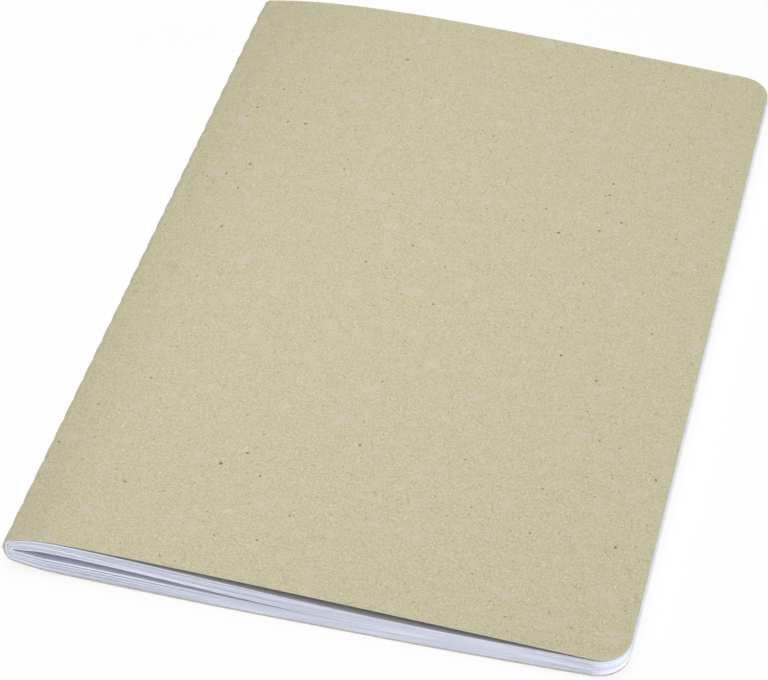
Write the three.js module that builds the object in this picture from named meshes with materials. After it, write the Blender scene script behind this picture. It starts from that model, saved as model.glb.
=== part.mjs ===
// A closed notebook: one section of folded sheets, machine-sewn through the fold into a folded
// board cover with rounded fore-edge corners. It lies on its back cover. Millimetres, +Z up,
// the spine along Y at the -X side, the foot at y = 0 while building. Distances called "out"
// run from the fold line towards the fore edge; "along" is 0 at the foot and 1 at the head.

import * as THREE from "three";

// Outline of the trimmed book
const PAGE_WIDTH = 137.2; // from the fold line to the pages' fore edge
const PAGE_LENGTH = 210;
const CORNER_RADIUS = 7.5;
const CORNER_STEPS = 4;
const SET_BACK = 0.3; // the swollen spine draws the boards' edges this far behind the middle pages

// Thickness through the closed book
const SHEET_COUNT = 16; // folded sheets, so 32 leaves and 64 pages
const PAPER = 0.09;
const BOARD = 0.4;
const BOARD_GAP = 0.1; // air that stays between the board and the next leaf
const FOLD_HEIGHT = 6.1; // of the fold line above the table
const CREST_HEIGHT = 10.9; // of the front board where the book swells most
const FORE_HEIGHT = 6; // of the front board at the fore edge

// The front swells most near the spine at the foot, and further out at the head
const FOOT_CREST_OUT = 14;
const HEAD_CREST_OUT = 40;
const SHOULDER_POWER = 3; // how roundly the front rises from the spine to the crest
const FALL_POWER = 1.3; // how it falls from the crest to the fore edge
const BOW_RISE = 2; // the front board bows up off the pages by this much
const BOW_POWER = 1.2; // sets the widest place of that gap, past the middle
const BOW_TAPER = 1.3; // how it narrows towards its two ends

// The back board is bowed too: it touches the table in the middle, and its long edges lift
const SPINE_LIFT = 1.15;
const SPINE_LIFT_OUT = 55; // it touches the table from here
const SPINE_LIFT_POWER = 1.5;
const FORE_LIFT = 0.95;
const FORE_LIFT_OUT = 85; // to here
const FORE_LIFT_POWER = 1.6;
const UNDER_ROUND = 1.1; // beside the spine its underside rounds up by this much more
const UNDER_ROUND_OUT = 10;
const UNDER_ROUND_POWER = 2;

// The middle of the section sinks from the swollen fold to the pressed fore edge
const CENTRE_FORE_HEIGHT = 3.3;
const SINK_START_OUT = 5;
const SINK_END_OUT = 72;
const CENTRE_GAP_FOLD = 0.23; // half of the opening in the middle of the section, at the fold
const CENTRE_GAP_WIDE = 0.9;
const CENTRE_GAP_CLOSED = 0.03;
const CENTRE_WIDE_OUT = 7;
const CENTRE_CLOSED_OUT = 75;
const LOOSE_SHEETS = 4; // the innermost back leaves lie a little apart from the rest
const LOOSE_GAP = 0.2;
const LOOSE_CLOSED_OUT = 60;

// The rounded spine, as half ellipses about the fold line
const NOSE_REACH = 2.8; // how far the board's lobes stand out behind the fold line
const FOOT_SHOULDER = 3.3; // the spine's top above the fold line at the foot
const HEAD_SHOULDER = 2.35;
const NOSE_STEPS = 8;
const FOLD_REACH = 1; // each fold ends here, so the opened leaves leave a slot for the seam

// The seam
const STITCH_COUNT = 30; // stitches along the spine, trimmed off with the ends
const LOBE_DEPTH = 0.4; // how far the thread draws the board in at each hole
const LOBE_POWER = 0.7; // below 1 makes full lobes with narrow notches between them
const LOBE_STEPS = 3;
const THREAD_RADIUS = 0.2;
const THREAD_CLEARANCE = 0.04;
const THREAD_SIDES = 6;

// The front board bends along this line when it is opened alone
const CREASE_OUT = 7.2;

// Where the curved sections are measured: up to the crease, then as shares of the page width
const PAGE_SHARES = [0.1, 0.19, 0.29, 0.4, 0.62, 0.78, 0.9, 1];
const STATIONS = [
  0,
  FOLD_REACH,
  0.5 * CREASE_OUT,
  CREASE_OUT,
  ...PAGE_SHARES.map((t) => t * PAGE_WIDTH),
];
const FOLD_STATION = 1;
const CREASE_STATION = 3;
const ROWS = [0, 0.5, 1].map((t) => t * PAGE_LENGTH);

// Round the spine "out" goes on below 0: it turns from above the fold line to under it between
// 0 and this value, and then runs back outwards along the underside
const NOSE_START = -1;

const boardMaterial = () =>
  new THREE.MeshStandardMaterial({ color: 0xcac4a5, roughness: 0.9, metalness: 0 });
const paperMaterial = () =>
  new THREE.MeshStandardMaterial({ color: 0xe9ecf3, roughness: 0.85, metalness: 0 });
const threadMaterial = () =>
  new THREE.MeshStandardMaterial({ color: 0xb9b4a6, roughness: 0.8, metalness: 0 });

const mix = THREE.MathUtils.lerp;
const share = (value, from, to) => THREE.MathUtils.clamp((value - from) / (to - from), 0, 1);
const ease = (t) => t * t * (3 - 2 * t);

// Smooth heights above the table

function centreHeight(out) {
  return mix(FOLD_HEIGHT, CENTRE_FORE_HEIGHT, ease(share(out, SINK_START_OUT, SINK_END_OUT)));
}

function centreGap(out) {
  if (out < CENTRE_WIDE_OUT) {
    return mix(CENTRE_GAP_FOLD, CENTRE_GAP_WIDE, ease(share(out, 0, CENTRE_WIDE_OUT)));
  }
  const closed = ease(share(out, CENTRE_WIDE_OUT, CENTRE_CLOSED_OUT));
  return mix(CENTRE_GAP_WIDE, CENTRE_GAP_CLOSED, closed);
}

function frontAt(out, crestOut, shoulder) {
  if (out < crestOut) {
    const drop = CREST_HEIGHT - FOLD_HEIGHT - shoulder;
    return CREST_HEIGHT - drop * (1 - out / crestOut) ** SHOULDER_POWER;
  }
  const fall = share(out, crestOut, PAGE_WIDTH) ** FALL_POWER;
  return mix(CREST_HEIGHT, FORE_HEIGHT, fall);
}

function frontHeight(out, along) {
  const foot = frontAt(out, FOOT_CREST_OUT, FOOT_SHOULDER);
  const head = frontAt(out, HEAD_CREST_OUT, HEAD_SHOULDER);
  return mix(foot, head, along);
}

function frontBow(out) {
  const wave = Math.sin(Math.PI * share(out, 0, PAGE_WIDTH) ** BOW_POWER);
  return BOW_RISE * Math.max(wave, 0) ** BOW_TAPER;
}

function looseGap(out) {
  return LOOSE_GAP * (1 - ease(share(out, FOLD_REACH, LOOSE_CLOSED_OUT)));
}

function backHeight(out) {
  const round = UNDER_ROUND * (1 - share(out, 0, UNDER_ROUND_OUT)) ** UNDER_ROUND_POWER;
  const spine = SPINE_LIFT * (1 - share(out, 0, SPINE_LIFT_OUT)) ** SPINE_LIFT_POWER;
  const fore = FORE_LIFT * share(out, FORE_LIFT_OUT, PAGE_WIDTH) ** FORE_LIFT_POWER;
  return round + spine + fore;
}

// Every layer keeps straight facets between the same stations, so that no two layers cross
function overStations(height) {
  return (out, along) => {
    const last = STATIONS.length - 1;
    let i = STATIONS.findIndex((station) => station > out) - 1;
    if (i < 0) {
      i = last - 1;
    }
    const t = (out - STATIONS[i]) / (STATIONS[i + 1] - STATIONS[i]);
    return mix(height(STATIONS[i], along), height(STATIONS[i + 1], along), t);
  };
}

// A closed skin: a flat plan of points and triangles, placed twice, with walls round its rim.
// Plan triangles run anticlockwise seen from the outer side.
function slab(plan, place) {
  const { points, faces } = plan;
  const count = points.length;
  const positions = [];
  for (const outer of [true, false]) {
    for (const [out, y] of points) {
      positions.push(...place(out, y, outer));
    }
  }
  const index = [];
  const edges = new Set(faces.flatMap(([a, b, c]) => [`${a},${b}`, `${b},${c}`, `${c},${a}`]));
  for (const [a, b, c] of faces) {
    index.push(a, b, c, c + count, b + count, a + count);
    for (const [from, to] of [[a, b], [b, c], [c, a]]) {
      if (!edges.has(`${to},${from}`)) {
        index.push(from, from + count, to + count, from, to + count, to);
      }
    }
  }
  const geometry = new THREE.BufferGeometry();
  geometry.setAttribute("position", new THREE.Float32BufferAttribute(positions, 3));
  geometry.setIndex(index);
  return geometry;
}

// A plain rectangular plan over the given columns and rows
function gridPlan(columns, rows) {
  const points = columns.flatMap((out) => rows.map((y) => [out, y]));
  const faces = [];
  for (let i = 0; i + 1 < columns.length; i++) {
    for (let j = 0; j + 1 < rows.length; j++) {
      const a = i * rows.length + j;
      const b = a + rows.length;
      faces.push([a, b, b + 1], [a, b + 1, a + 1]);
    }
  }
  return { points, faces };
}

// The plan of a leaf or board panel: straight columns, then a strip out to the trimmed edge
// with its two rounded corners
function leafPlan(firstStation, foreEdge) {
  const columns = STATIONS.slice(firstStation, -1);
  const { points, faces } = gridPlan(columns, ROWS);
  const centreX = foreEdge - CORNER_RADIUS;
  const edge = [];
  for (let k = 0; k <= CORNER_STEPS; k++) {
    const turn = (Math.PI / 2) * (k / CORNER_STEPS);
    edge.push([
      centreX + CORNER_RADIUS * Math.sin(turn),
      CORNER_RADIUS * (1 - Math.cos(turn)),
    ]);
  }
  const head = edge.map(([x, y]) => [x, PAGE_LENGTH - y]).reverse();
  const inner = points.length - ROWS.length; // the last column's foot point
  const outer = points.length;
  const middle = outer + edge.length;
  points.push(...edge, [foreEdge, PAGE_LENGTH / 2], ...head);
  for (let k = outer; k < middle; k++) {
    faces.push([inner, k, k + 1]);
  }
  faces.push([inner, middle, inner + 1], [inner + 1, middle, inner + 2]);
  for (let k = middle; k < points.length - 1; k++) {
    faces.push([inner + 2, k, k + 1]);
  }
  return { points, faces };
}

// How far the seam draws the spine in: most at a hole, nothing at the top of a lobe
function drawnIn(turn, y) {
  const lobe = Math.abs(Math.sin((Math.PI * y * STITCH_COUNT) / PAGE_LENGTH));
  return LOBE_DEPTH * (1 - lobe ** LOBE_POWER) * Math.cos(Math.PI * (turn + 0.5)) ** 2;
}

// One layer carried from the underside round the spine to the front. "under" and "front" are
// its heights above the table, and "reach" is how far it stands out behind the fold line.
function wrap(under, front, reach) {
  return (out, y, outer) => {
    if (out >= 0) {
      return [out, y, front(out, y, outer)];
    }
    if (out <= NOSE_START) {
      return [NOSE_START - out, y, under(NOSE_START - out, outer)];
    }
    const angle = Math.PI * (out + 0.5);
    const foldSide = out < NOSE_START / 2 ? under(0, outer) : front(0, y, outer);
    const rise = Math.abs(foldSide - FOLD_HEIGHT);
    const x = -reach(out, y, outer) * Math.cos(angle);
    return [x, y, FOLD_HEIGHT + rise * Math.sin(angle)];
  };
}

// The board

const boardTop = overStations(frontHeight);
const boardUnder = overStations(backHeight);

function frontBoard(out, y, outer) {
  return boardTop(out, y / PAGE_LENGTH) - (outer ? 0 : BOARD);
}

function backBoard(out, outer) {
  return boardUnder(out) + (outer ? 0 : BOARD);
}

function spineReach(turn, y, outer) {
  return NOSE_REACH - drawnIn(turn, y) - (outer ? 0 : BOARD);
}

// The sheets: sheet 0 is the outermost, next to the board

function innerSide(out, along) {
  return frontHeight(out, along) - BOARD - BOARD_GAP - frontBow(out);
}

function frontLeaf(n) {
  const face = overStations((out, along) => {
    const inner = centreHeight(out) + centreGap(out);
    return mix(inner, innerSide(out, along), 1 - n / SHEET_COUNT);
  });
  return (out, y, outer) => face(out, y / PAGE_LENGTH) - (outer ? 0 : PAPER);
}

function backLeaf(n) {
  const face = overStations((out) => {
    const inner = centreHeight(out) - centreGap(out);
    const loose = n < SHEET_COUNT - LOOSE_SHEETS ? looseGap(out) : 0;
    const depth = inner - backHeight(out) - BOARD - BOARD_GAP - looseGap(out);
    return inner - depth * (1 - n / SHEET_COUNT) - loose;
  });
  return (out, outer) => face(out) + (outer ? 0 : PAPER);
}

function foldReach(n) {
  const widest = NOSE_REACH - LOBE_DEPTH - BOARD - BOARD_GAP;
  const reach = mix(CENTRE_GAP_FOLD, widest, 1 - n / SHEET_COUNT);
  return (turn, y, outer) => reach - (outer ? 0 : PAPER);
}

// Creep: the middle sheets stand furthest out at the fore edge
const sheetEdge = (n) => PAGE_WIDTH - SET_BACK * (1 - n / (SHEET_COUNT - 1));

// A thread along the seam: a six-sided section carried along the rows
function threadGeometry(rows, centreX) {
  const columns = Array.from({ length: THREAD_SIDES }, (_, k) => k);
  const positions = [];
  for (const y of rows) {
    for (const k of columns) {
      const angle = (k / THREAD_SIDES) * Math.PI * 2;
      const x = centreX(y) - THREAD_RADIUS * Math.cos(angle);
      positions.push(x, y, FOLD_HEIGHT + THREAD_RADIUS * Math.sin(angle));
    }
  }
  const index = [];
  for (let j = 0; j + 1 < rows.length; j++) {
    for (const k of columns) {
      const next = (k + 1) % THREAD_SIDES;
      const a = j * THREAD_SIDES + k;
      const b = j * THREAD_SIDES + next;
      index.push(a, b, b + THREAD_SIDES, a, b + THREAD_SIDES, a + THREAD_SIDES);
    }
  }
  const last = (rows.length - 1) * THREAD_SIDES;
  for (let k = 1; k + 1 < THREAD_SIDES; k++) {
    index.push(0, k + 1, k, last, last + k, last + k + 1);
  }
  const geometry = new THREE.BufferGeometry();
  geometry.setAttribute("position", new THREE.Float32BufferAttribute(positions, 3));
  geometry.setIndex(index);
  return geometry;
}

// The book, with its origin under the middle of its outer box

const book = new THREE.Group();
const seamOutside = (y) => drawnIn(-0.5, y) - NOSE_REACH - THREAD_CLEARANCE - THREAD_RADIUS;
const rearmost = -NOSE_REACH - THREAD_CLEARANCE - 2 * THREAD_RADIUS;
book.position.set(-(rearmost + PAGE_WIDTH) / 2, -PAGE_LENGTH / 2, 0);

function add(name, geometry, material) {
  const mesh = new THREE.Mesh(geometry, material());
  mesh.name = name;
  book.add(mesh);
}

// A panel lies flat on its own side of the section, and its plan's outer side faces up
const frontPanel = (height) => (out, y, upper) => [out, y, height(out, y, upper)];
const backPanel = (height) => (out, y, upper) => [out, y, height(out, !upper)];

const noseColumns = Array.from({ length: NOSE_STEPS + 1 }, (_, k) => NOSE_START + k / NOSE_STEPS);
const foldColumns = [NOSE_START - FOLD_REACH, ...noseColumns, FOLD_REACH];
const spineColumns = [...foldColumns, ...STATIONS.slice(FOLD_STATION + 1, CREASE_STATION + 1)];
const seamRows = Array.from(
  { length: STITCH_COUNT * LOBE_STEPS + 1 },
  (_, k) => (k / (STITCH_COUNT * LOBE_STEPS)) * PAGE_LENGTH,
);

const boardEdge = PAGE_WIDTH - SET_BACK;
const frontPlan = leafPlan(CREASE_STATION, boardEdge);
const backPlan = leafPlan(FOLD_STATION, boardEdge);
add("front_cover", slab(frontPlan, frontPanel(frontBoard)), boardMaterial);
add("back_cover", slab(backPlan, backPanel(backBoard)), boardMaterial);
const spine = wrap(backBoard, frontBoard, spineReach);
add("cover_spine", slab(gridPlan(spineColumns, seamRows), spine), boardMaterial);

const foldPlan = gridPlan(foldColumns, ROWS);
for (let n = 0; n < SHEET_COUNT; n++) {
  const sheet = `sheet_${String(n + 1).padStart(2, "0")}`;
  const pagePlan = leafPlan(FOLD_STATION, sheetEdge(n));
  const front = frontLeaf(n);
  const back = backLeaf(n);
  add(`${sheet}_front_leaf`, slab(pagePlan, frontPanel(front)), paperMaterial);
  add(`${sheet}_fold`, slab(foldPlan, wrap(back, front, foldReach(n))), paperMaterial);
  add(`${sheet}_back_leaf`, slab(pagePlan, backPanel(back)), paperMaterial);
}

add("seam_thread_outside", threadGeometry(seamRows, seamOutside), threadMaterial);
add("seam_thread_inside", threadGeometry(ROWS, () => 0), threadMaterial);

export default book;
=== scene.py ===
import math

import bpy
import numpy as np
from mathutils import Matrix, Vector


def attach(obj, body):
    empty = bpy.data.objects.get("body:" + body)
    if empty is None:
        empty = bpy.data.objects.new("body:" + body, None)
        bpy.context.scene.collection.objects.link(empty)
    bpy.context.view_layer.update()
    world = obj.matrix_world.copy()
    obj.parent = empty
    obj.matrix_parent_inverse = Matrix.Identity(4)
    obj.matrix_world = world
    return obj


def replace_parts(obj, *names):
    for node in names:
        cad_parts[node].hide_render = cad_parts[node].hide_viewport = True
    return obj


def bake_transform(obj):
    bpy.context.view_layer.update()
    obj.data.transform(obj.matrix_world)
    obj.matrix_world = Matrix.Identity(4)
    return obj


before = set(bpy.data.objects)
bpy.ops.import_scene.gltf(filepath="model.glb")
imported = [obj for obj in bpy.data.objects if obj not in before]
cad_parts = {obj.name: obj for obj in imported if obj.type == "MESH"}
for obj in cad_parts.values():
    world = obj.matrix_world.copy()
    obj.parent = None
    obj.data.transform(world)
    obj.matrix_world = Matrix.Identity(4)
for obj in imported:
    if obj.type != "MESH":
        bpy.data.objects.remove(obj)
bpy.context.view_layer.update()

# The camera looks down on the closed book from its foot and a little from its fore edge, with a
# long lens, so the near end shows the folded sheets and the spine runs away on the left.
MM = 0.001
CAMERA_AIM = Vector((-6.07 * MM, -13.15 * MM, 1.09 * MM))
CAMERA_DISTANCE = 678.7 * MM
CAMERA_AZIMUTH = math.radians(14.12)
CAMERA_ELEVATION = math.radians(42.416)
CAMERA_ROLL = math.radians(0.085)
CAMERA_LENS_MM = 131.95
CAMERA_SENSOR_MM = 36
CAMERA_NEAREST = 10 * MM
CAMERA_FARTHEST = 20.0

back = Vector(
    (
        math.sin(CAMERA_AZIMUTH) * math.cos(CAMERA_ELEVATION),
        -math.cos(CAMERA_AZIMUTH) * math.cos(CAMERA_ELEVATION),
        math.sin(CAMERA_ELEVATION),
    )
)
level_right = (-back).cross(Vector((0, 0, 1))).normalized()
level_up = level_right.cross(-back)
right = level_right * math.cos(CAMERA_ROLL) + level_up * math.sin(CAMERA_ROLL)
up = level_up * math.cos(CAMERA_ROLL) - level_right * math.sin(CAMERA_ROLL)
turn = Matrix((right, up, back)).transposed().to_4x4()

camera = bpy.data.objects.new("camera", bpy.data.cameras.new("camera"))
camera.data.sensor_width = CAMERA_SENSOR_MM
camera.data.lens = CAMERA_LENS_MM
camera.data.clip_start = CAMERA_NEAREST
camera.data.clip_end = CAMERA_FARTHEST
camera.matrix_world = Matrix.Translation(CAMERA_AIM + back * CAMERA_DISTANCE) @ turn
bpy.context.scene.collection.objects.link(camera)
bpy.context.scene.camera = camera
bpy.context.scene.view_settings.view_transform = "Standard"

# The studio: a dim white surround, one soft lamp close overhead, one high far one, low far ones
# that light the book's upright sides, and a white card to lie on, which keeps a faint shadow.
# A far lamp has its strength, its spread in degrees and the direction in which it stands.
SURROUND_LIGHT = 0.16
OVERHEAD_POWER = 0.455
OVERHEAD_SIZE = 0.25
OVERHEAD_PLACE = (-0.055, -0.01, 0.32)
FAR_LAMPS = {
    "high": (0.93, 50, (0, -0.2, 1)),
    "front": (1.36, 12, (0, -1, 0.06)),
    "right": (3.2, 25, (1, 0.1, 0.05)),
    "behind": (0.7, 20, (-0.1, 1, 0.1)),
}
CARD_HALF = 6.0
CARD_CLEARANCE = 0.00002
CARD_WHITE = (0.93, 0.93, 0.93, 1)
CARD_GLOW = 0.1
CARD_SHOWN_WHITE = 0.86

world = bpy.data.worlds.new("surround")
bpy.context.scene.world = world
world.use_nodes = True
nodes, links = world.node_tree.nodes, world.node_tree.links
nodes.clear()
path = nodes.new("ShaderNodeLightPath")
seen = nodes.new("ShaderNodeMath")
seen.operation = "MAXIMUM"
links.new(path.outputs["Is Camera Ray"], seen.inputs[0])
links.new(path.outputs["Is Glossy Ray"], seen.inputs[1])
brightness = nodes.new("ShaderNodeMapRange")
brightness.inputs["To Min"].default_value = SURROUND_LIGHT
brightness.inputs["To Max"].default_value = 1.0
links.new(seen.outputs[0], brightness.inputs["Value"])
surround = nodes.new("ShaderNodeBackground")
surround.inputs["Color"].default_value = (1, 1, 1, 1)
links.new(brightness.outputs[0], surround.inputs["Strength"])
out = nodes.new("ShaderNodeOutputWorld")
links.new(surround.outputs[0], out.inputs["Surface"])

overhead = bpy.data.objects.new("overhead", bpy.data.lights.new("overhead", "AREA"))
overhead.data.energy = OVERHEAD_POWER
overhead.data.size = OVERHEAD_SIZE
overhead.location = OVERHEAD_PLACE
lamps = [overhead]
for name, (strength, softness, direction) in FAR_LAMPS.items():
    lamp = bpy.data.objects.new(name, bpy.data.lights.new(name, "SUN"))
    lamp.data.energy = strength
    lamp.data.angle = math.radians(softness)
    lamp.rotation_mode = "QUATERNION"
    lamp.rotation_quaternion = Vector(direction).to_track_quat("Z", "Y")
    lamps.append(lamp)
for lamp in lamps:
    bpy.context.scene.collection.objects.link(lamp)

card_mesh = bpy.data.meshes.new("card")
card_corners = [
    (x * CARD_HALF, y * CARD_HALF, -CARD_CLEARANCE) for x, y in ((-1, -1), (1, -1), (1, 1), (-1, 1))
]
card_mesh.from_pydata(card_corners, [], [(0, 1, 2, 3)])
card = bpy.data.objects.new("card", card_mesh)
bpy.context.scene.collection.objects.link(card)
white_card = bpy.data.materials.new("white_card")
white_card.use_nodes = True
nodes, links = white_card.node_tree.nodes, white_card.node_tree.links
nodes.clear()
path = nodes.new("ShaderNodeLightPath")
amount = nodes.new("ShaderNodeMath")
amount.operation = "MULTIPLY"
amount.inputs[1].default_value = CARD_SHOWN_WHITE
links.new(path.outputs["Is Camera Ray"], amount.inputs[0])
lit = nodes.new("ShaderNodeBsdfDiffuse")
lit.inputs["Color"].default_value = CARD_WHITE
glow = nodes.new("ShaderNodeEmission")
glow.inputs["Strength"].default_value = CARD_GLOW
both = nodes.new("ShaderNodeAddShader")
links.new(lit.outputs[0], both.inputs[0])
links.new(glow.outputs[0], both.inputs[1])
plain = nodes.new("ShaderNodeEmission")
blend = nodes.new("ShaderNodeMixShader")
links.new(amount.outputs[0], blend.inputs[0])
links.new(both.outputs[0], blend.inputs[1])
links.new(plain.outputs[0], blend.inputs[2])
out = nodes.new("ShaderNodeOutputMaterial")
links.new(blend.outputs[0], out.inputs["Surface"])
card_mesh.materials.append(white_card)

# The section of sixteen folded sheets: smooth bluish-white paper, nested one inside the next,
# sewn through the fold and trimmed together, so the middle sheets creep out at the fore edge.
# The pages swell over the spine, sink at the fore edge, and open a little in the middle.
FOLD_X = -66.98 * MM
FOOT_Y = -105 * MM
PAGE_WIDTH = 137.2 * MM
PAGE_LENGTH = 210 * MM
CORNER_RADIUS = 7.1 * MM
CORNER_KNEE = 1.6
SHEETS = 16
BOARD = 0.4 * MM
BOARD_GAP = 0.1 * MM
FOLD_HEIGHT = 6.1 * MM
CREST_HEIGHT = 10.9 * MM
FORE_HEIGHT = 6 * MM
FOOT_CREST_OUT = 14 * MM
HEAD_CREST_OUT = 40 * MM
SHOULDER_POWER = 3
FALL_POWER = 1.3
BOW_RISE = 2 * MM
BOW_POWER = 1.2
BOW_TAPER = 1.3
SPINE_LIFT = 1.15 * MM
SPINE_LIFT_OUT = 55 * MM
SPINE_LIFT_POWER = 1.5
FORE_LIFT = 0.95 * MM
FORE_LIFT_OUT = 85 * MM
FORE_LIFT_POWER = 1.6
UNDER_ROUND = 1.1 * MM
UNDER_ROUND_OUT = 10 * MM
UNDER_ROUND_POWER = 2
CENTRE_FORE_HEIGHT = 3.3 * MM
SINK_START_OUT = 5 * MM
SINK_END_OUT = 72 * MM
CENTRE_GAP_FOLD = 0.23 * MM
CENTRE_GAP_WIDE = 0.9 * MM
CENTRE_GAP_CLOSED = 0.03 * MM
CENTRE_WIDE_OUT = 7 * MM
CENTRE_CLOSED_OUT = 75 * MM
LOOSE_SHEETS = 4
LOOSE_GAP = 0.2 * MM
LOOSE_CLOSED_OUT = 60 * MM
NOSE_REACH = 2.8 * MM
FOOT_SHOULDER = 3.3 * MM
HEAD_SHOULDER = 2.35 * MM
NOSE_ARC = 10.4 * MM
LOBE_DEPTH = 0.5 * MM
END_SWELL = 0.33 * MM
FOOT_LOBE_FULL = 2.36 * MM
FOOT_LOBE = 5.9 * MM
HEAD_LOBE = 1.1 * MM
SET_BACK = 0.3 * MM
THINNEST_PAPER = 0.085 * MM
THICKEST_PAPER = 0.14 * MM
PAPER_SHARE = 0.95
GAP_VARIATION = 0.4
GAP_WAVES = (0.6, 2.2)
CUT_ANGLE = math.radians(50)
GROOVE_ANGLE = 18
LEAF_ANGLE = 110
CORNER_ROWS = 9
NEAR_FOLD_OUT = 14 * MM
NEAR_FOLD_COLUMNS = 12
LEAF_COLUMNS = 22
SHEET_ROUND_COLUMNS = 17
LAID_APART = 10 * MM


def mix(a, b, t):
    return a + (b - a) * t


def share(value, low, high):
    return np.clip((value - low) / (high - low), 0, 1)


def ease(t):
    return t * t * (3 - 2 * t)


def centre_height(out):
    return mix(FOLD_HEIGHT, CENTRE_FORE_HEIGHT, ease(share(out, SINK_START_OUT, SINK_END_OUT)))


def centre_gap(out):
    near = mix(CENTRE_GAP_FOLD, CENTRE_GAP_WIDE, ease(share(out, 0, CENTRE_WIDE_OUT)))
    closed = ease(share(out, CENTRE_WIDE_OUT, CENTRE_CLOSED_OUT))
    return np.where(out < CENTRE_WIDE_OUT, near, mix(CENTRE_GAP_WIDE, CENTRE_GAP_CLOSED, closed))


def swell(out, crest_out, shoulder):
    drop = CREST_HEIGHT - FOLD_HEIGHT - shoulder
    rising = CREST_HEIGHT - drop * (1 - share(out, 0, crest_out)) ** SHOULDER_POWER
    fall = share(out, crest_out, PAGE_WIDTH) ** FALL_POWER
    return np.where(out < crest_out, rising, mix(CREST_HEIGHT, FORE_HEIGHT, fall))


def front_height(out, y):
    foot = swell(out, FOOT_CREST_OUT, FOOT_SHOULDER)
    head = swell(out, HEAD_CREST_OUT, HEAD_SHOULDER)
    return mix(foot, head, y / PAGE_LENGTH)


def front_bow(out):
    wave = np.sin(math.pi * share(out, 0, PAGE_WIDTH) ** BOW_POWER)
    return BOW_RISE * np.maximum(wave, 0) ** BOW_TAPER


def loose_gap(out):
    return LOOSE_GAP * (1 - ease(share(out, 0, LOOSE_CLOSED_OUT)))


def back_height(out):
    rounded = UNDER_ROUND * (1 - share(out, 0, UNDER_ROUND_OUT)) ** UNDER_ROUND_POWER
    spine = SPINE_LIFT * (1 - share(out, 0, SPINE_LIFT_OUT)) ** SPINE_LIFT_POWER
    return rounded + spine + FORE_LIFT * share(out, FORE_LIFT_OUT, PAGE_WIDTH) ** FORE_LIFT_POWER


def wrap(place, y, under, front, reach):
    """Points of one layer: place is 0 above the fold line and grows towards the front fore edge;
    it falls to -NOSE_ARC round the spine, and goes on falling towards the back fore edge."""
    turn = np.clip(place / NOSE_ARC, -1, 0)
    angle = math.pi * (turn + 0.5)
    over = np.maximum(place, 0)
    below = np.maximum(-NOSE_ARC - place, 0)
    rise = np.where(turn < -0.5, FOLD_HEIGHT - under(0 * y, y), front(0 * y, y) - FOLD_HEIGHT)
    x = over + below - reach(turn, y) * np.cos(angle)
    z = FOLD_HEIGHT + rise * np.sin(angle)
    z = np.where(place >= 0, front(over, y), z)
    z = np.where(place <= -NOSE_ARC, under(below, y), z)
    return np.stack([FOLD_X + x, FOOT_Y + y, z], axis=-1)


def corner_rows(steps):
    """Rows from foot to head, closer together round the two corners."""
    near = CORNER_RADIUS * (1 - np.cos(np.linspace(0, math.pi / 2, steps)))
    middle = np.linspace(CORNER_RADIUS, PAGE_LENGTH - CORNER_RADIUS, steps + 1)[1:-1]
    return np.concatenate([near, middle, PAGE_LENGTH - near[::-1]])


def trimmed(place, y, edge):
    """Draws the last columns in where the die rounds the corners."""
    reach_in = np.minimum(np.minimum(y, PAGE_LENGTH - y), CORNER_RADIUS)
    bite = CORNER_RADIUS - np.sqrt(CORNER_RADIUS**2 - (CORNER_RADIUS - reach_in) ** 2)
    knee = edge - CORNER_KNEE * CORNER_RADIUS
    sign = np.where(place >= -NOSE_ARC / 2, 1, -1)
    out = np.where(sign > 0, place, -NOSE_ARC - place)
    squeezed = knee + (out - knee) * (edge - bite - knee) / (edge - knee)
    out = np.where(out > knee, squeezed, out)
    return np.where(sign > 0, out, -NOSE_ARC - out)


def layer(name, columns, rows, edge, outside, inside, number=0):
    """A closed mesh of one sheet or board: two faces and the cut edge round them."""
    place, y = np.meshgrid(columns, rows, indexing="ij")
    place = trimmed(place, y, edge)
    points = np.concatenate([outside(place, y).reshape(-1, 3), inside(place, y).reshape(-1, 3)])
    count = place.size
    numbers = np.arange(count).reshape(place.shape)
    a, b = numbers[:-1, :-1], numbers[1:, :-1]
    c, d = numbers[1:, 1:], numbers[:-1, 1:]
    outer = np.stack([a, b, c, d], axis=-1).reshape(-1, 4)
    head_and_back = [numbers[-2::-1, -1], numbers[0, -2:0:-1]]
    loop = np.concatenate([numbers[:, 0], numbers[-1, 1:], *head_and_back])
    ahead = np.roll(loop, -1)
    rim = np.stack([loop, loop + count, ahead + count, ahead], axis=-1)
    faces = np.concatenate([outer, outer[:, ::-1] + count, rim])
    mesh = bpy.data.meshes.new(name)
    mesh.from_pydata(points.tolist(), [], faces.tolist())
    on_rim = (np.arange(len(faces)) >= len(faces) - len(rim)).astype(np.int32)
    mesh.polygons.foreach_set("material_index", on_rim)
    flat = np.stack([place, y, 0 * y + number * LAID_APART], axis=-1).reshape(-1, 3)
    under_flat = flat + np.array([0, 0, -BOARD])
    laid = mesh.attributes.new("laid_flat", "FLOAT_VECTOR", "POINT")
    laid.data.foreach_set("vector", np.concatenate([flat, under_flat]).astype(np.float32).ravel())
    mesh.update()
    mesh.set_sharp_from_angle(angle=CUT_ANGLE)
    piece = bpy.data.objects.new(name, mesh)
    bpy.context.scene.collection.objects.link(piece)
    return piece


def fold_between(piece, turned):
    folded = np.zeros(len(piece.data.vertices) * 3, np.float32)
    piece.data.vertices.foreach_get("co", folded)
    flat = np.zeros((len(piece.data.vertices), 3), np.float32)
    flat[:, 0] = 0.5 - np.sin(np.arcsin(1 - 2 * turned) / 3)
    piece.data.vertices.foreach_set("co", flat.ravel())
    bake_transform(piece)
    piece.data.vertices.foreach_set("co", folded)
    piece.data.update()


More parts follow.
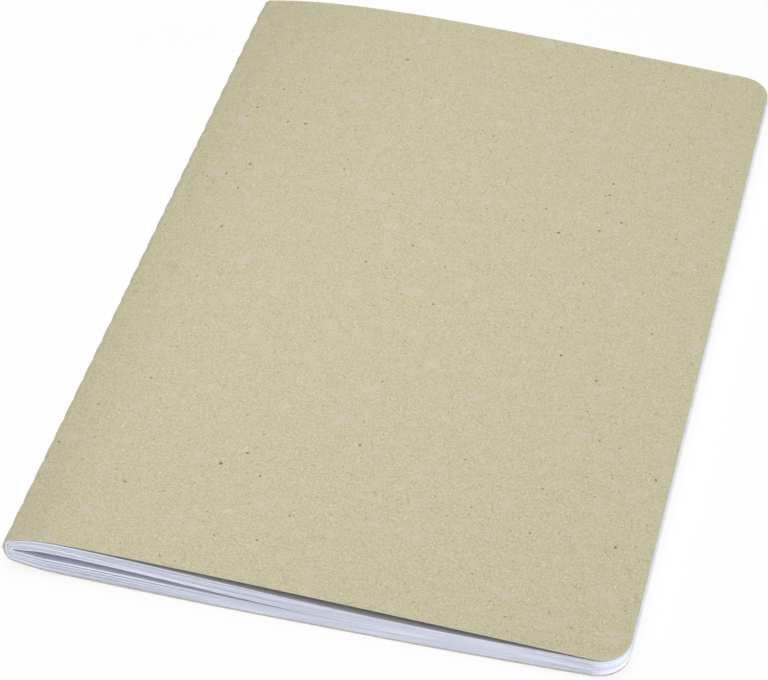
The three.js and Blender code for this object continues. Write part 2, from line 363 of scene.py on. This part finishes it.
def flat_place(piece):
    laid = np.zeros(len(piece.data.vertices) * 3, np.float32)
    piece.data.attributes["laid_flat"].data.foreach_get("vector", laid)
    return laid.reshape(-1, 3)[:, 0]


def turned_with_leaf(piece):
    """How far each point turns as the book opens, by its angle round the fold line from the tip
    of the spine: the back half stays, the leaf turns, and a narrow groove is left between."""
    points = np.zeros(len(piece.data.vertices) * 3, np.float32)
    piece.data.vertices.foreach_get("co", points)
    x, _, z = points.reshape(-1, 3).T
    away = np.degrees(np.abs(np.arctan2(z - FOLD_HEIGHT, FOLD_X - x)))
    opened = np.interp(away, (0, 90, LEAF_ANGLE), (0, GROOVE_ANGLE, LEAF_ANGLE - 90))
    side = np.sign(flat_place(piece) + NOSE_ARC / 2)
    return np.clip(0.5 + side * (away - opened) / 180, 0, 1)


def node(tree, kind, **inputs):
    """Adds a shader node and sets or links its inputs."""
    made = tree.nodes.new(kind)
    for name, value in inputs.items():
        plain_name = name.replace("_", " ")
        socket = made.inputs[int(name[1:])] if name[0] == "_" else made.inputs[plain_name]
        if isinstance(value, bpy.types.NodeSocket):
            tree.links.new(value, socket)
        else:
            socket.default_value = value
    return made


def noise(tree, place, scale, detail=2.0, distortion=0.0):
    return node(
        tree, "ShaderNodeTexNoise", Vector=place, Scale=scale, Detail=detail, Distortion=distortion
    ).outputs["Fac"]


def ramp(tree, value, low, high, to_low=0.0, to_high=1.0):
    made = node(tree, "ShaderNodeMapRange", Value=value, From_Min=low, From_Max=high)
    made.inputs["To Min"].default_value = to_low
    made.inputs["To Max"].default_value = to_high
    return made.outputs[0]


def tint(tree, amount, under, over):
    made = tree.nodes.new("ShaderNodeMix")
    made.data_type = "RGBA"
    factor, first, second = made.inputs[0], made.inputs[6], made.inputs[7]
    for socket, value in ((factor, amount), (first, under), (second, over)):
        if isinstance(value, bpy.types.NodeSocket):
            tree.links.new(value, socket)
        else:
            socket.default_value = value
    return made.outputs[2]


MATT_SHINE = 0.25


def material(name, roughness):
    made = bpy.data.materials.new(name)
    made.use_nodes = True
    surface = made.node_tree.nodes["Principled BSDF"]
    surface.inputs["Roughness"].default_value = roughness
    surface.inputs["Specular IOR Level"].default_value = MATT_SHINE
    return made, made.node_tree, surface


PAPER_WHITE = (0.81, 0.83, 0.94, 1)
PAPER_SHADE = (0.77, 0.79, 0.91, 1)
PAPER_EDGE = (0.81, 0.84, 0.95, 1)
PAPER_EDGE_SHADE = (0.775, 0.805, 0.92, 1)
PAPER_ROUGHNESS = 0.85
PAPER_EDGE_ROUGHNESS = 0.9
PAPER_CLOUDS = 900
PAPER_GRAIN = 4000
PAPER_GRAIN_DEPTH = 0.02 * MM
PAPER_GRAIN_STRENGTH = 0.15
ALONG_THE_CUT = (120, 120, 9000)
CUT_STREAKS = 3
MIDDLE_TONES = (0.35, 0.65)
STREAK_TONES = (0.35, 0.7)

page_paper, tree, surface = material("page_paper", PAPER_ROUGHNESS)
where = node(tree, "ShaderNodeAttribute")
where.attribute_name = "laid_flat"
where = where.outputs["Vector"]
cloud = ramp(tree, noise(tree, where, PAPER_CLOUDS, 3), *MIDDLE_TONES)
tree.links.new(tint(tree, cloud, PAPER_SHADE, PAPER_WHITE), surface.inputs["Base Color"])
grain = noise(tree, where, PAPER_GRAIN, 2)
grain = node(
    tree, "ShaderNodeBump", Height=grain, Strength=PAPER_GRAIN_STRENGTH, Distance=PAPER_GRAIN_DEPTH
)
tree.links.new(grain.outputs[0], surface.inputs["Normal"])

trimmed_paper, tree, surface = material("trimmed_paper", PAPER_EDGE_ROUGHNESS)
where = node(tree, "ShaderNodeAttribute")
where.attribute_name = "laid_flat"
stretched = node(tree, "ShaderNodeVectorMath", _0=where.outputs["Vector"], _1=ALONG_THE_CUT)
stretched.operation = "MULTIPLY"
streak = ramp(tree, noise(tree, stretched.outputs[0], CUT_STREAKS, 3), *STREAK_TONES)
tree.links.new(tint(tree, streak, PAPER_EDGE_SHADE, PAPER_EDGE), surface.inputs["Base Color"])


def leaf_places(edge):
    near_fold = np.linspace(0, NEAR_FOLD_OUT, NEAR_FOLD_COLUMNS)[1:]
    return np.concatenate([near_fold, np.linspace(NEAR_FOLD_OUT, edge, LEAF_COLUMNS)[1:]])


def sheet_places(edge):
    leaf = leaf_places(edge)
    round_fold = np.linspace(-NOSE_ARC, 0, SHEET_ROUND_COLUMNS)
    return np.concatenate([-NOSE_ARC - leaf[::-1], round_fold, leaf])


# Uneven air between the sheets: each gap takes its own share, which drifts along the leaf.
drift = np.random.default_rng(7)
gap_phase = drift.uniform(0, 2 * math.pi, (2, SHEETS))
gap_waves = drift.uniform(*GAP_WAVES, (2, SHEETS))


def depth_share(side, n, out):
    """How far sheet n's outer face lies from the middle of the section, from 0 to 1."""
    along = 2 * math.pi * out / PAGE_WIDTH
    shares = [
        1 + GAP_VARIATION * np.sin(gap_phase[side, k] + gap_waves[side, k] * along)
        for k in range(SHEETS)
    ]
    return sum(shares[n:]) / sum(shares)


def paper_thickness(depth):
    return np.clip(depth / SHEETS * PAPER_SHARE, THINNEST_PAPER, THICKEST_PAPER)


def front_leaf(n, inner_face):
    def height(out, y):
        middle = centre_height(out) + centre_gap(out)
        outermost = front_height(out, y) - BOARD - BOARD_GAP - front_bow(out)
        top = mix(middle, outermost, depth_share(0, n, out))
        return top - paper_thickness(outermost - middle) * inner_face

    return height


def back_leaf(n, inner_face):
    def height(out, y):
        middle = centre_height(out) - centre_gap(out)
        loose = loose_gap(out)
        depth = middle - back_height(out) - BOARD - BOARD_GAP - loose
        face = middle - depth * depth_share(1, n, out)
        if n < SHEETS - LOOSE_SHEETS:
            face = face - loose
        return face + paper_thickness(depth) * inner_face

    return height


def end_swell(y):
    """The sheets fill the cut-off lobes of the cover at the foot and the head."""
    foot = 1 - ease(share(y, FOOT_LOBE_FULL, FOOT_LOBE))
    head = 1 - ease(share(PAGE_LENGTH - y, 0, HEAD_LOBE))
    return END_SWELL * np.maximum(foot, head)


def sheet_face(n, inner_face):
    widest = NOSE_REACH - LOBE_DEPTH - BOARD - BOARD_GAP
    reach = mix(CENTRE_GAP_FOLD, widest, depth_share(1, n, 0)) - THINNEST_PAPER * inner_face
    under, front = back_leaf(n, inner_face), front_leaf(n, inner_face)
    outer = depth_share(1, n, 0)

    def reach_at(turn, y):
        return reach + outer * (LOBE_DEPTH * np.sin(math.pi * (turn + 0.5)) ** 2 + end_swell(y))

    return lambda place, y: wrap(place, y, under, front, reach_at)


for n in range(SHEETS):
    label = f"sheet_{n + 1:02d}"
    edge = PAGE_WIDTH - SET_BACK * (1 - n / (SHEETS - 1))
    places, rows = sheet_places(edge), corner_rows(CORNER_ROWS)
    sheet = layer(label, places, rows, edge, sheet_face(n, 0), sheet_face(n, 1), n)
    sheet.data.materials.append(page_paper)
    sheet.data.materials.append(trimmed_paper)
    fold_between(sheet, turned_with_leaf(sheet))
    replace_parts(sheet, f"{label}_front_leaf", f"{label}_fold", f"{label}_back_leaf")

# The cover: one piece of plain recycled board, grey-brown and flecked with fibres, folded round
# the section and sewn with it. Between the stitches the spine swells into small lobes, and the
# front board bows up off the pages. It bends at the spine, and beside it when opened alone.
STITCHES = 30
STITCH_SHIFT = 1.1 * MM
LOBE_POWER = 0.55
CREASE_OUT = 7.2 * MM
BEND_LENGTH = 5 * MM
BUTT_OUT = 2 * MM
BOARD_ROUND_COLUMNS = 25
BUTT_COLUMNS = 6
BEND_COLUMNS = 34
PANEL_COLUMNS = 26
PANEL_CORNER_ROWS = 13
ROWS_PER_STITCH = 8
CLOSEST_ROWS = 0.15 * MM

KRAFT = (0.640, 0.595, 0.398, 1)
KRAFT_DARK = (0.472, 0.431, 0.274, 1)
KRAFT_PALE = (0.780, 0.740, 0.528, 1)
KRAFT_PINK = (0.674, 0.566, 0.418, 1)
KRAFT_GREEN = (0.588, 0.600, 0.366, 1)
KRAFT_GREY = (0.636, 0.605, 0.494, 1)
SPECK_BROWN = (0.17, 0.13, 0.08, 1)
SPECK_GREY = (0.33, 0.30, 0.21, 1)
FIBRE_DARK = (0.38, 0.33, 0.21, 1)
FLECK_WHITE = (0.86, 0.84, 0.72, 1)
# The next colour darkens the cover's inside face: painted shade, which keeps the gap under the
# bowed front board dark.
INNER_FACE_PAINTED_SHADE = (0.58, 0.5, 0.52)
BOARD_CORE = (0.46, 0.43, 0.365, 1)
BOARD_CORE_PALE = (0.64, 0.61, 0.54, 1)
BOARD_ROUGHNESS = 0.88
BOARD_EDGE_ROUGHNESS = 0.95
FLECK_SIZES = (0.4, 1.5)
FLECK_BLUR = 0.45
PATCH_TONES = (0.56, 0.74)
DARK_FIBRES = (420, 0.02, 500, 0.5)
DARK_FIBRES_SHOW = 0.45
PALE_FIBRES = (380, 0.022, 450, 0.5)
PALE_FIBRES_SHOW = 0.4
PALE_FIBRES_PLACE = (0.2, 0.9, 0)
FIBRE_CURL = 0.6
RAGGED_SCALE = 1500
RAGGED_BY = (0.6 * MM, 0.6 * MM, 0)
TOOTH_SCALE = 2200
TOOTH_DEPTH = 0.04 * MM
TOOTH_STRENGTH = 0.35
ALONG_THE_BOARD = (500, 500, 9000)


def maths(tree, operation, first, second=0.0):
    made = node(tree, "ShaderNodeMath", _0=first, _1=second)
    made.operation = operation
    return made.outputs[0]


def fleck(tree, place, scale, radius, chosen):
    """Scattered flecks of many sizes: of the cells of that scale, the chosen share hold one."""
    cells = node(tree, "ShaderNodeTexVoronoi", Vector=place, Scale=scale, Randomness=1.0)
    cells.voronoi_dimensions = "2D"
    pick = node(tree, "ShaderNodeSeparateColor", Color=cells.outputs["Color"])
    smallest, largest = (radius * size for size in FLECK_SIZES)
    size = ramp(tree, pick.outputs[1], 0, 1, smallest, largest)
    inside = maths(tree, "DIVIDE", cells.outputs["Distance"], size)
    near = ramp(tree, inside, 1.0, FLECK_BLUR)
    keep = ramp(tree, pick.outputs[0], chosen, chosen * 0.9)
    return maths(tree, "MULTIPLY", near, keep)


def fibre(tree, place, scale, width, patch_scale, patch):
    """Short curved fibres: thin contour lines of a noise, kept only in scattered patches."""
    field = noise(tree, place, scale, 1.5, FIBRE_CURL)
    away = maths(tree, "ABSOLUTE", maths(tree, "SUBTRACT", field, 0.5))
    line = ramp(tree, away, width, 0.0)
    patches = ramp(tree, noise(tree, place, patch_scale, 1), patch, patch + 0.05)
    return maths(tree, "MULTIPLY", line, patches)


def moved_place(tree, place, by):
    return node(tree, "ShaderNodeVectorMath", _0=place, _1=by).outputs[0]


kraft_board, tree, surface = material("kraft_board", BOARD_ROUGHNESS)
where = node(tree, "ShaderNodeAttribute")
where.attribute_name = "laid_flat"
where = where.outputs["Vector"]
colour = KRAFT
for tone, shift, scale, detail, strength in (
    (KRAFT_DARK, (0, 0, 0), 330, 4, 0.32),
    (KRAFT_PALE, (0.3, 0.1, 0), 1300, 2, 0.55),
    (KRAFT_DARK, (0.1, 0.6, 0), 2300, 1, 0.68),
):
    mottle = noise(tree, moved_place(tree, where, shift), scale, detail)
    colour = tint(tree, ramp(tree, mottle, *MIDDLE_TONES, 0, strength), colour, tone)
for tone, shift, scale, strength in (
    (KRAFT_PINK, (0, 0.5, 0), 260, 0.6),
    (KRAFT_GREEN, (0.7, 0, 0), 230, 0.6),
    (KRAFT_GREY, (0.9, 0.2, 0), 190, 0.7),
):
    patch = noise(tree, moved_place(tree, where, shift), scale, 3)
    colour = tint(tree, ramp(tree, patch, *PATCH_TONES, 0, strength), colour, tone)
hairs = fibre(tree, where, *DARK_FIBRES)
colour = tint(tree, ramp(tree, hairs, 0, 1, 0, DARK_FIBRES_SHOW), colour, FIBRE_DARK)
pale_hairs = fibre(tree, moved_place(tree, where, PALE_FIBRES_PLACE), *PALE_FIBRES)
colour = tint(tree, ramp(tree, pale_hairs, 0, 1, 0, PALE_FIBRES_SHOW), colour, KRAFT_PALE)
ragged = node(tree, "ShaderNodeTexNoise", Vector=where, Scale=RAGGED_SCALE, Detail=1)
ragged = node(tree, "ShaderNodeVectorMath", _0=ragged.outputs["Color"], _1=RAGGED_BY)
ragged.operation = "MULTIPLY"
place = node(tree, "ShaderNodeVectorMath", _0=where, _1=ragged.outputs[0]).outputs[0]
for tone, shift, scale, radius, chosen, strength in (
    (FLECK_WHITE, (0.4, 0.4, 0), 230, 0.05, 0.12, 0.6),
    (SPECK_GREY, (0.8, 0.3, 0), 650, 0.16, 0.3, 0.4),
    (SPECK_GREY, (0.2, 0.7, 0), 380, 0.11, 0.13, 0.65),
    (SPECK_BROWN, (0, 0, 0), 210, 0.07, 0.09, 0.85),
):
    spots = fleck(tree, moved_place(tree, place, shift), scale, radius, chosen)
    colour = tint(tree, maths(tree, "MULTIPLY", spots, strength), colour, tone)
# The inside face of the board takes a darker copy of the kraft colour: painted shade for the gap
# under the front board.
side = node(tree, "ShaderNodeSeparateXYZ", Vector=where).outputs[2]
inner_painted_shade = node(tree, "ShaderNodeVectorMath", _0=colour, _1=INNER_FACE_PAINTED_SHADE)
inner_painted_shade.operation = "MULTIPLY"
colour = tint(tree, maths(tree, "LESS_THAN", side, -BOARD / 2), colour, inner_painted_shade.outputs[0])
tree.links.new(colour, surface.inputs["Base Color"])
tooth = maths(tree, "ADD", noise(tree, where, TOOTH_SCALE, 4), hairs)
relief = node(tree, "ShaderNodeBump", Height=tooth, Strength=TOOTH_STRENGTH, Distance=TOOTH_DEPTH)
tree.links.new(relief.outputs[0], surface.inputs["Normal"])

cut_board, tree, surface = material("cut_board", BOARD_EDGE_ROUGHNESS)
where = node(tree, "ShaderNodeAttribute")
where.attribute_name = "laid_flat"
stretched = node(tree, "ShaderNodeVectorMath", _0=where.outputs["Vector"], _1=ALONG_THE_BOARD)
stretched.operation = "MULTIPLY"
plies = ramp(tree, noise(tree, stretched.outputs[0], 1, 3), *MIDDLE_TONES)
tree.links.new(tint(tree, plies, BOARD_CORE, BOARD_CORE_PALE), surface.inputs["Base Color"])


def drawn_in(turn, y):
    lobe = np.abs(np.sin(math.pi * (y + STITCH_SHIFT) * STITCHES / PAGE_LENGTH))
    return LOBE_DEPTH * (1 - lobe**LOBE_POWER) * np.cos(math.pi * (turn + 0.5)) ** 2


def board_face(inset):
    def under(out, y):
        return back_height(out) + inset

    def front(out, y):
        return front_height(out, y) - inset

    def reach(turn, y):
        return NOSE_REACH - drawn_in(turn, y) - inset

    return lambda place, y: wrap(place, y, under, front, reach)


board_edge = PAGE_WIDTH - SET_BACK
stitch_rows = np.linspace(0, PAGE_LENGTH, STITCHES * ROWS_PER_STITCH + 1) - STITCH_SHIFT
seam_rows = np.concatenate([corner_rows(CORNER_ROWS), stitch_rows])
seam_rows = np.unique(np.clip(seam_rows, 0, PAGE_LENGTH))
seam_rows = seam_rows[np.concatenate([[True], np.diff(seam_rows) > CLOSEST_ROWS])]
seam_rows[-1] = PAGE_LENGTH

back_places = -NOSE_ARC - leaf_places(board_edge)[::-1]
round_spine = np.linspace(-NOSE_ARC, 0, BOARD_ROUND_COLUMNS)
butt_places = np.linspace(0, BUTT_OUT, BUTT_COLUMNS)[1:]
spine_places = np.concatenate([back_places, round_spine, butt_places])
back_and_spine = layer(
    "cover_back_and_spine", spine_places, seam_rows, board_edge, board_face(0), board_face(BOARD)
)
fold_between(back_and_spine, turned_with_leaf(back_and_spine))
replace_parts(back_and_spine, "back_cover", "cover_spine")

bend_places = np.linspace(BUTT_OUT, CREASE_OUT + 2 * BEND_LENGTH, BEND_COLUMNS)
panel_places = np.linspace(bend_places[-1], board_edge, PANEL_COLUMNS)[1:]
front_places = np.concatenate([bend_places, panel_places])
panel_rows = corner_rows(PANEL_CORNER_ROWS)
front_panel = layer(
    "cover_front", front_places, panel_rows, board_edge, board_face(0), board_face(BOARD)
)
bent = ease(share(flat_place(front_panel), CREASE_OUT, CREASE_OUT + BEND_LENGTH))
fold_between(front_panel, bent)
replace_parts(front_panel, "front_cover")
for panel in (back_and_spine, front_panel):
    panel.data.materials.append(kraft_board)
    panel.data.materials.append(cut_board)

# The sewing: two pale twisted threads, one along the outside of the spine and one in the gutter
# of the middle sheet, locked together through each hole and trimmed off with the book's ends.
THREAD_RADIUS = 0.12 * MM
THREAD_CLEARANCE = 0.03 * MM
PLY_RADIUS = 0.067 * MM
TWIST_PITCH = 1.1 * MM
STEPS_PER_STITCH = 40
PLIES = 2
PLY_SIDES = 7
THREAD_ROUGHNESS = 0.8
THREAD_FUZZ = 3000
FUZZ_TONES = (0.3, 0.7)
THREAD_PALE = (0.66, 0.64, 0.57, 1)
THREAD_DEEP = (0.40, 0.37, 0.30, 1)

sewing_thread, tree, surface = material("sewing_thread", THREAD_ROUGHNESS)
where = node(tree, "ShaderNodeAttribute")
where.attribute_name = "along_ply"
fuzz = ramp(tree, noise(tree, where.outputs["Vector"], THREAD_FUZZ, 3), *FUZZ_TONES)
tree.links.new(tint(tree, fuzz, THREAD_DEEP, THREAD_PALE), surface.inputs["Base Color"])


def thread(name, centre_x):
    y = np.linspace(0, PAGE_LENGTH, STITCHES * STEPS_PER_STITCH + 1)
    points, faces = [], []
    for ply in range(PLIES):
        twist = 2 * math.pi * (y / TWIST_PITCH + ply / PLIES)
        middle_x = centre_x(y) + (THREAD_RADIUS - PLY_RADIUS) * np.cos(twist)
        middle_z = FOLD_HEIGHT + (THREAD_RADIUS - PLY_RADIUS) * np.sin(twist)
        angle = np.linspace(0, 2 * math.pi, PLY_SIDES, endpoint=False)
        x = FOLD_X + middle_x[:, None] - PLY_RADIUS * np.cos(angle)
        z = middle_z[:, None] + PLY_RADIUS * np.sin(angle)
        first = sum(len(p) for p in points)
        points.append(np.stack([x, FOOT_Y + y[:, None] + 0 * x, z], axis=-1).reshape(-1, 3))
        ring = first + np.arange(len(y) * PLY_SIDES).reshape(len(y), PLY_SIDES)
        ahead = np.roll(ring, -1, axis=1)
        faces += np.stack([ring[:-1], ahead[:-1], ahead[1:], ring[1:]], -1).reshape(-1, 4).tolist()
        faces += [ring[0][::-1].tolist(), ring[-1].tolist()]
    mesh = bpy.data.meshes.new(name)
    points = np.concatenate(points)
    mesh.from_pydata(points.tolist(), [], faces)
    mesh.polygons.foreach_set("use_smooth", np.ones(len(faces), bool))
    along = mesh.attributes.new("along_ply", "FLOAT_VECTOR", "POINT")
    along.data.foreach_set("vector", points.astype(np.float32).ravel())
    mesh.materials.append(sewing_thread)
    mesh.update()
    piece = bpy.data.objects.new(name, mesh)
    bpy.context.scene.collection.objects.link(piece)
    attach(piece, "seam")
    return piece


def outside_spine(y):
    board = np.interp(y, seam_rows, drawn_in(-0.5, seam_rows))
    return board - NOSE_REACH - THREAD_CLEARANCE - THREAD_RADIUS


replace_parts(thread("stitches_outside", outside_spine), "seam_thread_outside")
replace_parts(thread("stitches_inside", lambda y: 0 * y), "seam_thread_inside")
